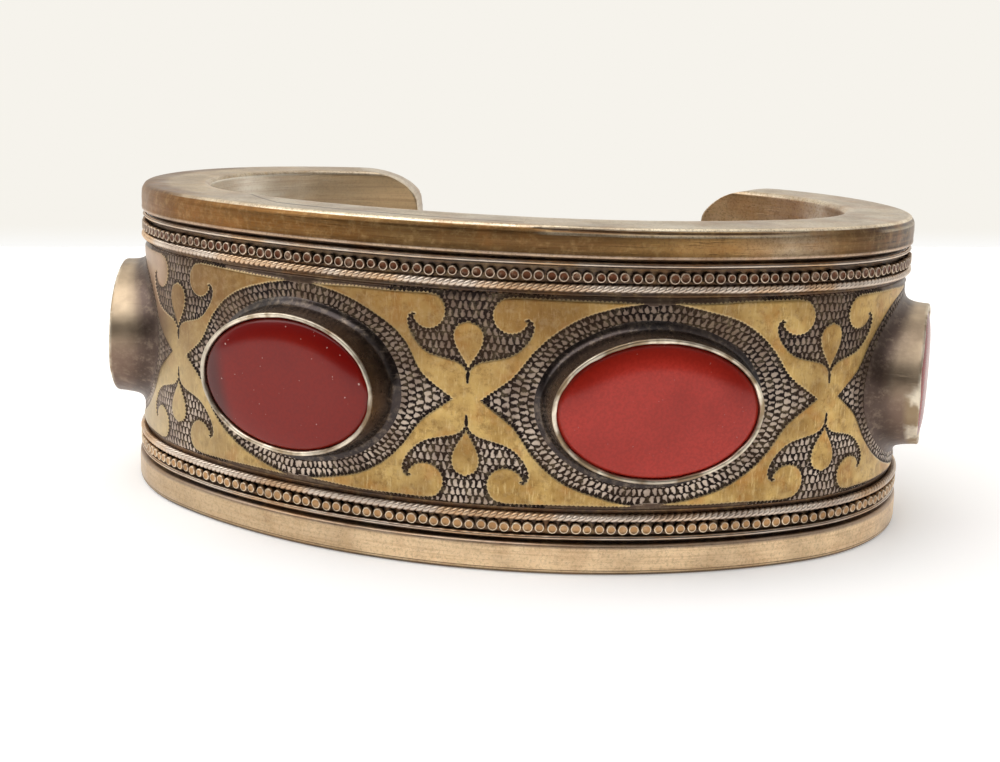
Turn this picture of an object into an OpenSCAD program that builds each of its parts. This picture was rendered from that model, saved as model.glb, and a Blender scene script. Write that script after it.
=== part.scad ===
// Open cuff bracelet, parcel-gilt silver, with four oval cabochons in raised settings.
// It stands on its lower rim: X runs across the wrist, Y from the front to the open back, Z up.

/* [Cuff] */
// Width across the rim bands, from side to side
cuff_w = 70; // [67:1:74]
// Height of the cuff, rim to rim
cuff_h = 27.3; // [27:0.1:29]
// Thickness of the wall, from the inner face to the rim bands
wall = 6; // [5:0.1:7]
// Radius of the outer face along the front
front_r = 45; // [42:0.5:48]
// Radius of the outer face along each side
side_r = 21.2; // [20:0.2:23]
// Turn of each side, in degrees
side_turn = 131; // [122:1:133]
// Radius of the outer face along the back
back_r = 40; // [36:0.5:46]
// How far the lower rim stands out beyond the upper rim, on each side
flare = 0.8; // [0:0.1:1]
// Opening between the two ends, at the middle of the wall
gap_w = 30.4; // [25:0.1:32]
// Distance that this opening lies to the right of the middle
gap_shift = 1.7; // [0:0.1:2]
// Length of the rounded corners of the two ends, along the wall
end_l = 7; // [3:0.1:8]
// Height of those corners
end_h = 3.6; // [2:0.1:5]
// Bevel along the edges of the rims
edge = 0.3; // [0.1:0.05:0.5]

/* [Rims and wires] */
// Height of the plain band at the upper rim
upper_band_h = 2.15; // [1.6:0.05:2.4]
// Height of the plain band at the lower rim
lower_band_h = 2.5; // [1.8:0.05:2.5]
// Height of the ornamented field between the two rope wires
field_h = 16.7; // [15:0.1:17]
// Depth of the field below the rim bands
field_d = 0.45; // [0.3:0.05:0.7]
// Depth of the channel that holds the wires, below the rim bands
channel_d = 0.65; // [0.5:0.05:0.9]
// Width of the rope wire
rope_w = 0.6; // [0.5:0.05:0.7]
// Width of the row of beads
bead_w = 0.74; // [0.6:0.05:0.8]
// Width of the plain wire
wire_w = 0.36; // [0.3:0.05:0.45]
// Distance from the field's edge to the middle of the rope wire
rope_off = 0.65; // [0.6:0.01:0.68]
// Distance from the field's edge to the middle of the row of beads
bead_off = 1.53; // [1.45:0.01:1.6]
// Distance from the field's edge to the middle of the plain wire
wire_off = 2.33; // [2.25:0.01:2.4]

/* [Settings and stones] */
// Distance from the middle of a motif to the middle of the next stone, along the outer face
half_pitch = 14.4; // [14:0.1:15]
// How much further right the ornament on the right side sits, from its first motif on
right_shift = 1.2; // [0:0.1:1.5]
// How much further right the ornament on the left side sits, from its stone on
left_shift = 0.8; // [0:0.1:1.5]
// How much longer and higher the settings on the two sides are than those in front
side_grow = 0.8; // [0:0.1:1]
// Length of a front setting over its lip
setting_l = 16.5; // [15.5:0.1:17]
// Height of a front setting over its lip
setting_w = 11.3; // [10.5:0.1:11.6]
// Height of the lip above the rim bands
setting_h = 1.75; // [1.4:0.05:2.4]
// Thickness of the lip
lip_t = 0.38; // [0.3:0.02:0.5]
// Width of the hollow collar around the foot of a setting
collar_w = 0.75; // [0.5:0.05:0.9]
// Height of the collar above the field
collar_h = 0.95; // [0.6:0.05:1.2]
// Rise of a stone's dome above the lip
dome_h = 0.45; // [0.2:0.05:1]
// Depth below the lip at which the dome starts
shoulder_d = 0.25; // [0.1:0.05:0.5]
// Gap between a stone and its setting
stone_gap = 0.06; // [0.04:0.01:0.1]

/* [Motifs] */
// Rise of the gilt leaves and drops above the field
relief = 0.2; // [0.15:0.05:0.3]
// Height that the leaves reach, above and below the middle of the field
leaf_top = 8.1; // [7.6:0.1:8.2]
// Radius of the round end of a drop
drop_r = 1.18; // [0.9:0.02:1.3]
// Height of the middle of that round end, above the middle of the field
drop_y = 4.95; // [4.7:0.05:5.1]
// Height of the drop's point
drop_tip = 2.5; // [2.2:0.1:3]

/* [Hidden] */
// Points in each ring around a setting or a stone
around = 32;
// Depth to which what is soldered on sinks into the wall
sink = 0.4;
// Longest facet of the wall, along the outer face
facet_l = 4;
// Depth of the tops of the wires below the rim bands
wire_below = 0.05;
// Width of the slope from the channel up to the field
field_slope = 0.2;
// How far a cutting shape reaches past what it cuts
margin = 1;

// The plan is three arcs that run on into each other, from the front middle to one end.
// A heading is the direction that the outer face looks in: 0 to the front, 90 to the side.
function out(a) = [sin(a), -cos(a)];
front_turn = asin((cuff_w / 2 - side_r) / (front_r - side_r));
front_c = [0, front_r];
side_c = front_c + (front_r - side_r) * out(front_turn);
back_c = side_c + (side_r - back_r) * out(front_turn + side_turn);
// Heading of an end: side is 1 for the right one, -1 for the left one
function end_heading(side) = 180 - asin((gap_w / 2 + side * gap_shift - back_c.x) / (back_r - wall / 2));
front_arc = front_r * front_turn * PI / 180;
side_arc = side_r * side_turn * PI / 180;

function centre(a) = a <= front_turn ? front_c : a <= front_turn + side_turn ? side_c : back_c;
function radius(a) = a <= front_turn ? front_r : a <= front_turn + side_turn ? side_r : back_r;
// Heading of the point at distance s along the outer face from the front middle
function heading(s) =
    s <= front_arc ? s / front_r * 180 / PI
    : s <= front_arc + side_arc ? front_turn + (s - front_arc) / side_r * 180 / PI
    : front_turn + side_turn + (s - front_arc - side_arc) / back_r * 180 / PI;

// The origin is below the middle of the whole object, settings and stones included.
front_stone_a = heading(half_pitch);
front_reach = front_r - (front_r + setting_h) * cos(front_stone_a) - setting_l / 2 * sin(front_stone_a);
back_reach = back_c.y + back_r * -cos(end_heading(-1));
function end_distance(side) =
    front_arc + side_arc + back_r * (end_heading(side) - front_turn - side_turn) * PI / 180;
origin_y = (front_reach + back_reach) / 2;
field_low = (cuff_h - field_h) / 2;

// Point of the plan at heading a, at depth d from the outer face; a heading below 0 is on the left
function on_plan(a, d) =
    let (p = centre(abs(a)) + (radius(abs(a)) + d) * out(abs(a)))
        [a < 0 ? -p.x : p.x, p.y];

// How far the wall leans out at heading a and height z: most at the side and at the lower rim
function lean(a, z) = flare * pow(sin(a), 2) * (1 - z / cuff_h);

// Distance of a motif (even k) or a stone (odd k) from the front middle, counted to the right
function place(k) = k * half_pitch + (k >= 2 ? right_shift : k <= -3 ? left_shift : 0);
// How much longer than a front setting the setting of stone k is
function grown(k) = abs(k) > 1 ? side_grow : 0;

// Places children on the outer face at distance s: x along the wall, y up it from its middle, z outwards
module on_face(s) {
    a = heading(abs(s));
    mirror([s < 0 ? 1 : 0, 0, 0])
        translate(concat(on_plan(a, lean(a, cuff_h / 2)), cuff_h / 2))
            rotate([90 - atan(lean(a, 0) / cuff_h), 0, a])
                children();
}

// Closed solid from rings of points, all alike in number. The first and last ring get a flat
// cap each, or join up with each other where the rings go round a tube.
module rings(levels, tube = false) {
    n = len(levels[0]);
    m = len(levels);
    polyhedron(
        points = [for (ring = levels) each ring],
        faces = concat(
            [for (k = [0 : m - (tube ? 1 : 2)], i = [0 : n - 1])
                let (up = (k + 1) % m, next = (i + 1) % n)
                    each [[k * n + i, up * n + i, up * n + next], [k * n + i, up * n + next, k * n + next]]],
            tube ? [] : [[for (i = [0 : n - 1]) i], [for (i = [n - 1 : -1 : 0]) (m - 1) * n + i]]));
}

// Half-round wire along the channel, as points of the wall's section at height z
function wire(z, w) = [for (t = [0 : 60 : 180]) [-channel_d + (channel_d - wire_below) * sin(t), z - w / 2 * cos(t)]];

// One half of the wall's outer section, from the rim to the field: depth from the bands, and height
function trims(band_h) = concat(
    [[-edge, 0], [0, edge], [0, band_h - edge], [-edge / 2, band_h], [-channel_d, band_h]],
    wire(field_low - wire_off, wire_w),
    wire(field_low - bead_off, bead_w),
    wire(field_low - rope_off, rope_w),
    [[-channel_d, field_low - field_slope], [-field_d, field_low]]);

function flipped(points) = [for (i = [len(points) - 1 : -1 : 0]) [points[i].x, cuff_h - points[i].y]];

wall_section = concat(
    [[-wall, edge], [-wall + edge, 0]],
    trims(lower_band_h),
    flipped(trims(upper_band_h)),
    [[-wall + edge, cuff_h], [-wall, cuff_h - edge]]);

// Headings from one to another on an arc of radius r, in even steps, without the first
function steps(from, to, r) =
    let (n = ceil((to - from) * PI / 180 * r / facet_l)) [for (i = [1 : n]) from + (to - from) * i / n];
function half_way(side) = concat(steps(0, front_turn, front_r),
    steps(front_turn, front_turn + side_turn, side_r),
    steps(front_turn + side_turn, end_heading(side), back_r));
right_half = half_way(1);
all_headings = concat([for (i = [len(right_half) - 1 : -1 : 0]) right_half[i]], [0], [for (a = half_way(-1)) -a]);

// What rounds off one corner of an end, seen on the outer face. It bites a little past both
// edges, so that the curve meets them cleanly.
module end_corner() {
    bite = 0.05;
    translate([bite - end_l, bite - end_h, -wall - margin])
        linear_extrude(wall + 2 * margin)
            difference() {
                square([end_l + margin, end_h + margin]);
                scale([end_l, end_h]) circle(1, $fn = 24);
            }
}

module wall_and_rims() {
    difference() {
        rings([for (a = all_headings) [for (p = wall_section) concat(on_plan(a, p.x + lean(a, p.y)), p.y)]]);
        for (side = [-1, 1], up = [0, 1])
            on_face(side * end_distance(side))
                mirror([0, up, 0])
                    translate([0, cuff_h / 2, 0])
                        end_corner();
    }
}

// Point of an oval with the given length and width
function oval(l, w, t) = [l / 2 * cos(t), w / 2 * sin(t)];
angles = [for (i = [0 : around - 1]) i * 360 / around];
// How far the wall of radius r falls away from a flat plane, at distance x from where they touch
function falls_away(x, r) = r - sqrt(r * r - x * x);

// The hollow slope of a collar, from its foot up, as shares of the collar: width, height
collar_slope = [[1, 0.08], [0.42, 0.3], [0.12, 0.65], [0, 1]];

// A tube with a lip, and a hollow collar that follows the field
module setting(k) {
    r = radius(heading(abs(place(k))));
    // A ring at a height above the field, as much wider than the lip as said
    function ring(wider) = [for (t = angles)
        oval(setting_l + grown(k) + 2 * wider, setting_w + grown(k) + 2 * wider, t)];
    function foot(wider, height) = [for (p = ring(wider)) concat(p, height - field_d - falls_away(p.x, r))];
    function level(wider, z) = [for (p = ring(wider)) concat(p, z)];
    rings([
        foot(collar_w, -sink),
        for (c = collar_slope) foot(c[0] * collar_w, c[1] * collar_h),
        level(0, setting_h),
        level(-lip_t, setting_h),
        foot(-lip_t, -sink)], tube = true);
}

// Outlines of a stone's dome, from its edge to its top, as shares of the stone's size
dome_shares = [1, 0.95, 0.85, 0.7, 0.5, 0.25];
// How flat the dome's top is: 2 is a plain parabola, more is flatter
dome_power = 2.5;

module stone(k) {
    inset = lip_t + stone_gap;
    // A ring of the stone at height z, with a share of its full width
    function girdle(share, z) = [for (t = angles)
        concat(share * oval(setting_l + grown(k) - 2 * inset, setting_w + grown(k) - 2 * inset, t), z)];
    rings(concat(
        [girdle(1, stone_gap - field_d)],
        [for (share = dome_shares)
            girdle(share, setting_h - shoulder_d + (shoulder_d + dome_h) * (1 - pow(share, dome_power)))]));
}

// A flat-topped disc of relief at distance x along the wall and height y above the field's middle
module boss(x, y, r, sides) {
    on_face(x) translate([0, y, -field_d - sink]) cylinder(r = r, h = sink + relief, $fn = sides);
}

// Discs that a leaf runs through, from the middle of its motif: place, height, radius
leaf = [[0.4, 0.35, 0.6], [3, 2.65, 0.95], [6.2, leaf_top - 1.15, 1.15], [12.2, leaf_top - 0.15, 0.15]];
// The round lobe at its inner end
lobe = [3.2, leaf_top - 1.25, 1.25];
// Half width of a drop's point
tip_r = 0.1;
// Sides of a leaf's discs, of a drop's round end and of its point
leaf_sides = 8;
drop_sides = 12;
tip_sides = 4;

// Four leaves that meet at place k, with a drop above and below. They are stretched along the
// wall where the next stone is further away.
module motif(k) {
    function stretched(side) = abs(place(k + side) - place(k)) / half_pitch;
    for (up = [-1, 1]) {
        for (side = [-1, 1], pair = [[leaf[0], leaf[1]], [leaf[1], leaf[2]], [leaf[2], leaf[3]], [leaf[2], lobe]])
            hull()
                for (c = pair)
                    boss(place(k) + side * c[0] * stretched(side), up * c[1], c[2], leaf_sides);
        hull() {
            boss(place(k), up * drop_y, drop_r, drop_sides);
            boss(place(k), up * drop_tip, tip_r, tip_sides);
        }
    }
}

module cuff_body() {
    color("tan") wall_and_rims();
    color("goldenrod")
        for (k = [-4 : 2 : 4])
            motif(k);
    color("silver")
        for (k = [-3, -1, 1, 3])
            on_face(place(k))
                setting(k);
}

module stone_at(k) {
    color("brown") on_face(place(k)) stone(k);
}

module stone_side_left() { stone_at(-3); }
module stone_front_left() { stone_at(-1); }
module stone_front_right() { stone_at(1); }
module stone_side_right() { stone_at(3); }

translate([0, -origin_y, 0]) {
    cuff_body();
    stone_side_left();
    stone_front_left();
    stone_front_right();
    stone_side_right();
}
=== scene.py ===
# %% [markdown]
# # An open cuff bracelet in dark silver and gilt
#
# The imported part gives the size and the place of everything: one soldered cuff and four oval
# stones. Its solids are plain, so this notebook dresses them. Each visible surface is worked out
# with numpy on a grid that follows the cuff, and gets a procedural material.
#
# All lengths below are in millimetres, as a goldsmith would give them. They become metres only
# when a mesh is made.

# %% Load the frame
from math import asin, atan, cos, pi, radians, sin

import bmesh
import bpy
import numpy as np
from mathutils import Matrix, Vector


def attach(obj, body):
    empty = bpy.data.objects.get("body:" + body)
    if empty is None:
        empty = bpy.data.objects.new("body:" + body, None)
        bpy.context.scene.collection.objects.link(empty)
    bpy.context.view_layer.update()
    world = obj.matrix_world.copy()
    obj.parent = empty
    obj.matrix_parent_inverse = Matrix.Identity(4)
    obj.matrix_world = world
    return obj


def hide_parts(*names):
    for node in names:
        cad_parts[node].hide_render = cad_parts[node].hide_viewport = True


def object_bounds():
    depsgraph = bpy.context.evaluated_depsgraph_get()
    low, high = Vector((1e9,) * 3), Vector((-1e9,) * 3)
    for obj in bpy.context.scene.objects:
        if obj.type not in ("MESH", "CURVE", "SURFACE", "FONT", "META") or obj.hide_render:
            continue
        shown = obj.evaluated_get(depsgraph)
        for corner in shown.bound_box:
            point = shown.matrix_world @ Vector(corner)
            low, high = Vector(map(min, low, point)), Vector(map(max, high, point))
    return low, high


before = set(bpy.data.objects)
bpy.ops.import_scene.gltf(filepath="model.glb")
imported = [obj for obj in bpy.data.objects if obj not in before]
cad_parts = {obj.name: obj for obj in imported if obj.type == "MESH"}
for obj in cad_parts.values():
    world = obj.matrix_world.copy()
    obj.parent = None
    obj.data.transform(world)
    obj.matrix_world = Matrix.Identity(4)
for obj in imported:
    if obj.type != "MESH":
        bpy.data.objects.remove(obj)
cad_box = [list(corner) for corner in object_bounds()]
MM = 0.001
print("CAD box in mm:", [[round(v / MM, 2) for v in corner] for corner in cad_box])

# %% [markdown]
# ## The cuff's plan
#
# Seen from above, the outer face is three arcs that run on into each other: a flat one along the
# front, a tight one round each side, and a flat one towards each end. Anything on the cuff is then
# placed by three numbers: the distance `s` along the outer face from the front middle, the height
# `z`, and the distance `d` outwards. Bending a flat pattern round such a path keeps its lengths
# true, which a lattice or a simple cylinder would not.

# %% The plan, as numbers
# The cuff's width and height, and how thick its wall is
cuff_w, cuff_h, wall = 70.0, 27.3, 6.0
# The radius of the outer face at the front, the sides and the back, and how far a side turns
front_r, side_r, back_r = 45.0, 21.2, 40.0
side_turn = radians(131)
# How far the wall leans out below, the gap and its shift to the right, and the ends' rounding
flare, gap_w, gap_shift, end_l, end_h = 0.8, 30.4, 1.7, 7.0, 3.6
# The field's height, how deep it and the channels lie, and how the ornament is spaced on it
field_h, field_d, channel_d = 16.7, 0.45, 0.65
half_pitch, right_shift, left_shift = 14.4, 1.2, 0.8
# A setting's length, width and height, its lip, and how much larger the two side ones are
setting_l, setting_w, setting_h, lip_t, side_grow = 16.5, 11.3, 1.75, 0.38, 0.8
mid_z = cuff_h / 2
field_low = mid_z - field_h / 2

front_turn = asin((cuff_w / 2 - side_r) / (front_r - side_r))
front_arc, side_arc = front_r * front_turn, side_r * side_turn
turned = front_turn + side_turn


def out(a):
    """The direction that the outer face looks in at heading a: 0 is the front, more is rightwards."""
    return np.stack([np.sin(a), -np.cos(a)], -1)


front_c = np.array([0.0, front_r])
side_c = front_c + (front_r - side_r) * out(front_turn)
back_c = side_c + (side_r - back_r) * out(turned)
# The two ends are at different distances, since the opening lies a little to the right.
right_end, left_end = (
    front_arc + side_arc + back_r * (pi - turned - asin((gap_w / 2 + side * gap_shift - back_c[0])
                                                       / (back_r - wall / 2))) for side in (1, -1))
# The front settings reach furthest forward, and the CAD box says where that is.
stone_a = half_pitch / front_r
front_reach = front_r - (front_r + setting_h) * cos(stone_a) - setting_l / 2 * sin(stone_a)
front_y = cad_box[0][1] / MM - front_reach
print("the outer face runs from", round(-left_end, 2), "to", round(right_end, 2))
print("its front middle is at y =", round(front_y, 2))


def place(k):
    """Distance of a motif (even k) or a stone (odd k) from the front middle. The goldsmith's
    spacing isn't quite even: to the right it runs on a little further."""
    return k * half_pitch + (right_shift if k >= 2 else left_shift if k <= -3 else 0)


# %% A point on the cuff
def heading(s):
    """Heading at distance s: on each arc the distance travelled over the arc's radius, added up."""
    a = np.abs(s)
    turn = (np.minimum(a, front_arc) / front_r
            + np.clip(a - front_arc, 0, side_arc) / side_r
            + np.maximum(a - front_arc - side_arc, 0) / back_r)
    return np.sign(s) * turn


def on_cuff(s, z, d):
    """Point at distance s, height z and d outwards: the arc's centre plus (radius + d) times the
    outward direction, mirrored for the left half. The wall also leans out a little towards the
    lower rim, most at the sides, by the flare times the squared sine of the heading."""
    s, z, d = np.broadcast_arrays(np.asarray(s, float), z, d)
    turn = np.abs(heading(s))[..., None]
    middle = np.where(turn <= front_turn, front_c, np.where(turn <= turned, side_c, back_c))
    r = np.where(turn <= front_turn, front_r, np.where(turn <= turned, side_r, back_r))
    lean = flare * np.sin(turn) ** 2 * (1 - z[..., None] / cuff_h)
    p = middle + (r + d[..., None] + lean) * out(turn[..., 0])
    side = np.where(s < 0, -1.0, 1.0)
    return np.stack([side * p[..., 0], p[..., 1] + front_y, z], -1)


def rounded_end(s, z):
    """Pulls s back near the two ends, so that their corners are quarters of an oval: the pull at
    height z is how far the oval falls back there, and it fades in over the last stretch."""
    fade = 16.0
    up = np.clip(end_h - np.minimum(z, cuff_h - z), 0, end_h) / end_h
    pull = end_l * (1 - np.sqrt(1 - up ** 2))
    end = np.where(s < 0, left_end, right_end)
    share = np.clip((np.abs(s) - (end - fade)) / fade, 0, 1) ** 2
    return s - np.sign(s) * pull * share


right_turn = float(np.degrees(heading(right_end)))
print("the right end is turned", round(right_turn), "degrees away from the front")

# %% [markdown]
# ## Helpers for meshes
#
# A surface is a grid of points, row by row. Its faces are the same four corners shifted along,
# so they come from one index array. Numbers that the material needs, such as the distance to the
# edge of the gilding, ride along as attributes on the points.

# %% From arrays to a piece
def quads(rows, cols, round_cols=False):
    """Faces of a grid of rows by cols points. With round_cols, the last point of a row joins its
    first."""
    i = np.arange(rows - 1)[:, None]
    j = np.arange(cols if round_cols else cols - 1)[None, :]
    i2, j2 = i + 1, (j + 1) % cols
    corners = i * cols + j, i * cols + j2, i2 * cols + j2, i2 * cols + j
    return np.stack(np.broadcast_arrays(*corners), -1).reshape(-1, 4)


def piece(name, points, faces, material, numbers=None, weld=False):
    """A mesh object from points in millimetres, smooth, riding on the cuff. numbers are
    attributes: one value, or one colour, to each point."""
    mesh = bpy.data.meshes.new(name)
    points = np.asarray(points, float).reshape(-1, 3) * MM
    mesh.from_pydata(points, [], faces if isinstance(faces, list) else faces.tolist())
    for key, values in (numbers or {}).items():
        values = np.asarray(values, np.float32)
        kind, field = ("FLOAT_COLOR", "color") if values.ndim == 2 else ("FLOAT", "value")
        mesh.attributes.new(key, kind, "POINT").data.foreach_set(field, values.ravel())
    if weld:
        # Points in the same place, to a thousandth of a millimetre, become one.
        work = bmesh.new()
        work.from_mesh(mesh)
        bmesh.ops.remove_doubles(work, verts=work.verts, dist=0.001 * MM)
        bmesh.ops.recalc_face_normals(work, faces=work.faces)
        work.to_mesh(mesh)
        work.free()
    mesh.shade_smooth()
    mesh.materials.append(material)
    obj = bpy.data.objects.new(name, mesh)
    bpy.context.scene.collection.objects.link(obj)
    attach(obj, "root")
    triangles = sum(len(p.vertices) - 2 for p in mesh.polygons)
    print(name, "has", triangles, "triangles")
    return obj


def step(x, low, high):
    """0 below low, 1 above high, and an S-shaped ramp between: 3t^2 - 2t^3."""
    t = np.clip((x - low) / (high - low), 0, 1)
    return t * t * (3 - 2 * t)


def between(x, low, full, fades, gone):
    """0 up to low, 1 from full until x fades, and 0 again once it is gone."""
    return step(x, low, full) * (1 - step(x, fades, gone))


def waves(x, y, length, seed):
    """Smooth unevenness between about -1 and 1: seven sine waves of about that length, each with
    its own direction and phase, added up."""
    rng = np.random.default_rng(seed)
    total = 0.0
    for angle, phase, stretch in zip(rng.uniform(0, pi, 7), rng.uniform(0, 2 * pi, 7),
                                     rng.uniform(0.7, 1.6, 7)):
        total = total + np.sin(2 * pi * (x * cos(angle) + y * sin(angle)) / (length * stretch) + phase)
    return total / 4


def colour(r, g, b):
    """A colour given as on a screen, 0 to 255, made linear for the shaders."""
    return tuple(((v / 255 + 0.055) / 1.055) ** 2.4 for v in (r, g, b)) + (1.0,)


# %% [markdown]
# ## Helpers for materials
#
# A procedural material is a small calculation on each point of the surface. These helpers write
# such a calculation as a node tree, so that the recipes below stay short to read.

# %% Nodes in few words
def add(tree, kind, inputs=None, **settings):
    """A node of that kind. Each input is set to a value, or linked where the value is a socket."""
    made = tree.nodes.new(kind)
    for key, value in settings.items():
        setattr(made, key, value)
    for key, value in (inputs or {}).items():
        if isinstance(value, bpy.types.NodeSocket):
            tree.links.new(value, made.inputs[key])
        else:
            made.inputs[key].default_value = value
    return made


def calc(tree, operation, *values):
    """The result of one Math node."""
    return add(tree, "ShaderNodeMath", dict(enumerate(values)), operation=operation).outputs[0]


def times(tree, a, b):
    return calc(tree, "MULTIPLY", a, b)


def plus(tree, a, b):
    return calc(tree, "ADD", a, b)


def minus(tree, a, b):
    return calc(tree, "SUBTRACT", a, b)


def flip(tree, x):
    """1 - x: turns a mask round."""
    return minus(tree, 1.0, x)


def either(tree, a, b):
    """The larger of two masks."""
    return calc(tree, "MAXIMUM", a, b)


def ramp(tree, x, low, high, start=0.0, end=1.0):
    """start where x is below low, end where it is above high, and a soft step between."""
    return add(tree, "ShaderNodeMapRange",
               {"Value": x, "From Min": low, "From Max": high, "To Min": start, "To Max": end},
               interpolation_type="SMOOTHSTEP").outputs[0]


def mix(tree, share, a, b):
    """Colour a where share is 0, b where it is 1."""
    return add(tree, "ShaderNodeMix", {0: share, 6: a, 7: b}, data_type="RGBA").outputs[2]


def layered(tree, base, *layers):
    """The base with one colour after another laid over it. Each layer is a share and a colour."""
    for share, shade in layers:
        base = mix(tree, share, base, colour(*shade))
    return base


def attribute(tree, name):
    """A number that the piece carries on its points."""
    return add(tree, "ShaderNodeAttribute", attribute_name=name).outputs["Fac"]


def position(tree, kind="Object"):
    """The X, Y and Z of each point, in metres."""
    coordinates = add(tree, "ShaderNodeTexCoord").outputs[kind]
    return add(tree, "ShaderNodeSeparateXYZ", {0: coordinates}).outputs


# %% Noise, groups and materials
def noise(tree, size, detail=3.0, stretch=(1, 1, 1), roughness=0.55):
    """Cloudy unevenness from 0 to 1. size is a cloud's width in millimetres, and stretch makes
    it longer along an axis."""
    place = add(tree, "ShaderNodeTexCoord").outputs["Object"]
    place = add(tree, "ShaderNodeMapping",
                {"Vector": place, "Scale": tuple(1 / v for v in stretch)}).outputs[0]
    return add(tree, "ShaderNodeTexNoise",
               {"Vector": place, "Scale": 1 / (size * MM), "Detail": detail,
                "Roughness": roughness}).outputs["Fac"]


def group(name, inputs, outputs):
    """An empty node group with named number or colour sockets, and its two end nodes."""
    made = bpy.data.node_groups.new(name, "ShaderNodeTree")
    for label, kind in inputs:
        made.interface.new_socket(name=label, in_out="INPUT", socket_type="NodeSocket" + kind)
    for label, kind in outputs:
        made.interface.new_socket(name=label, in_out="OUTPUT", socket_type="NodeSocket" + kind)
    return made, made.nodes.new("NodeGroupInput"), made.nodes.new("NodeGroupOutput")


def use(tree, made, **inputs):
    """A node group placed in a tree. Spaces in its socket names are written as underscores."""
    return add(tree, "ShaderNodeGroup", {k.replace("_", " "): v for k, v in inputs.items()},
               node_tree=made)


def finish(name, roughness, metallic):
    """A new material, its tree and its Principled shader. Silver and gilding are nearly all
    metallic, stone and the table not at all."""
    made = bpy.data.materials.new(name)
    made.use_nodes = True
    shader = made.node_tree.nodes["Principled BSDF"]
    shader.inputs["Roughness"].default_value = roughness
    shader.inputs["Metallic"].default_value = metallic
    return made, made.node_tree, shader


# %% [markdown]
# ## Tarnish and wear, shared by every metal
#
# Old silver is never one colour: sulphur darkens it in clouds, and handling rubs it bright again
# in small spots. One group mottles any base colour that way. A second one gives the height of the
# fine dents and scratches, which a Bump node turns into broken highlights.

# %% Two shared effects
tarnish, into, outof = group(
    "Tarnish", [("Colour", "Color"), ("Dark", "Color"), ("Bright", "Color"), ("Amount", "Float")],
    [("Colour", "Color")])
amount = into.outputs["Amount"]
cloud = times(tarnish, ramp(tarnish, noise(tarnish, 5.0, 6.0), 0.38, 0.66), amount)
speck = ramp(tarnish, noise(tarnish, 0.7, 4.0, roughness=0.7), 0.45, 0.75)
speck = times(tarnish, speck, times(tarnish, amount, 0.7))
dirty = mix(tarnish, cloud, into.outputs["Colour"], into.outputs["Dark"])
tarnish.links.new(mix(tarnish, speck, dirty, into.outputs["Bright"]), outof.inputs["Colour"])

wear, into, outof = group("Dents and scratches", [("Scratches", "Float")], [("Height", "Float")])
dents, grain = noise(wear, 1.6, 2.0), noise(wear, 0.16, 3.0)
scratch = ramp(wear, noise(wear, 0.5, 2.0, stretch=(9, 9, 0.5)), 0.6, 0.66)
height = plus(wear, times(wear, dents, 0.7), times(wear, grain, 0.18))
height = minus(wear, height, times(wear, scratch, into.outputs["Scratches"]))
wear.links.new(height, outof.inputs["Height"])
print("shared effects:", tarnish.name, "and", wear.name)


def worn(tree, shader, base, dark, bright, amount, dent=0.03, scratches=0.1, extra=None):
    """Finishes a metal: its colour goes through Tarnish, and its height through Dents and
    scratches. dent is their depth in millimetres. extra is height of the piece's own, in the
    same measure."""
    aged = use(tree, tarnish, Colour=base, Dark=dark, Bright=bright, Amount=amount)
    tree.links.new(aged.outputs["Colour"], shader.inputs["Base Color"])
    rise = use(tree, wear, Scratches=scratches).outputs["Height"]
    if extra is not None:
        rise = plus(tree, rise, extra)
    bump = add(tree, "ShaderNodeBump", {"Height": rise, "Strength": 1.0, "Distance": dent * MM})
    tree.links.new(bump.outputs[0], shader.inputs["Normal"])


# %% [markdown]
# ## The wall with its two rims
#
# The real wall is hollow: sheet silver inside, a flat strip above and below, and the decorated
# sheet outside. From outside that is one closed ring with a section, so the section is carried
# along the plan. The strips meet the bands in fine solder seams, which are small steps in the
# section. The colour changes with the place on the section, so each point of it has its own tone,
# and the tone also drifts along the cuff: browner on the left, more silvery on the right.

# %% The wall's section: depth, height, tone
# The glint tone is a painted highlight: on the rounded top edge, and on the rolled edge under the open
# seam.
bronze, bright_gold, painted_glint = (124, 92, 50), (252, 222, 180), (255, 240, 212)
ash, soot, line = (150, 136, 118), (84, 73, 70), (46, 36, 30)
edge_tone, inner_tone, top_tone = (196, 172, 150), (226, 212, 188), (200, 187, 164)
lower_rows = [
    (-0.45, 0.0, ash), (-0.2, 0.05, ash), (-0.06, 0.2, line), (-0.02, 0.36, bright_gold),
    (-0.05, 0.41, line), (-0.01, 0.47, bright_gold), (0.0, 0.9, bright_gold),
    (0.0, 1.5, bright_gold), (0.0, 2.0, bright_gold), (-0.01, 2.15, bright_gold),
    (-0.03, 2.32, edge_tone), (-0.07, 2.46, edge_tone), (-0.3, 2.54, soot), (-0.6, 2.64, soot),
    (-channel_d, 3.0, soot), (-channel_d, 3.9, soot), (-channel_d, 5.1, soot), (-0.6, 5.3, soot),
    (-0.9, 5.5, soot)]
upper_rows = [
    (-0.9, 21.8, soot), (-0.6, 22.0, soot), (-channel_d, 22.2, soot), (-channel_d, 23.4, soot),
    (-channel_d, 24.5, soot), (-0.6, 24.76, soot), (-0.3, 24.86, soot), (-0.1, 24.96, soot),
    (-0.03, 25.04, edge_tone), (-0.01, 25.16, edge_tone), (-0.03, 25.26, bronze), (-0.02, 25.7, bronze),
    (0.0, 26.0, bronze), (-0.01, 26.4, bronze), (-0.02, 26.6, bronze), (-0.03, 26.7, bronze),
    (-0.06, 26.8, bronze), (-0.1, 26.88, bronze), (-0.13, 26.94, bronze), (-0.16, 27.0, bronze),
    (-0.2, 27.06, bronze), (-0.24, 27.12, painted_glint), (-0.3, 27.19, painted_glint), (-0.42, 27.26, painted_glint),
    (-0.62, cuff_h, top_tone)]
outer_d, outer_z, outer_tone = (np.array(column) for column in zip(*lower_rows + upper_rows))
outer_tone = np.array([colour(*shade) for shade in outer_tone])

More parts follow.
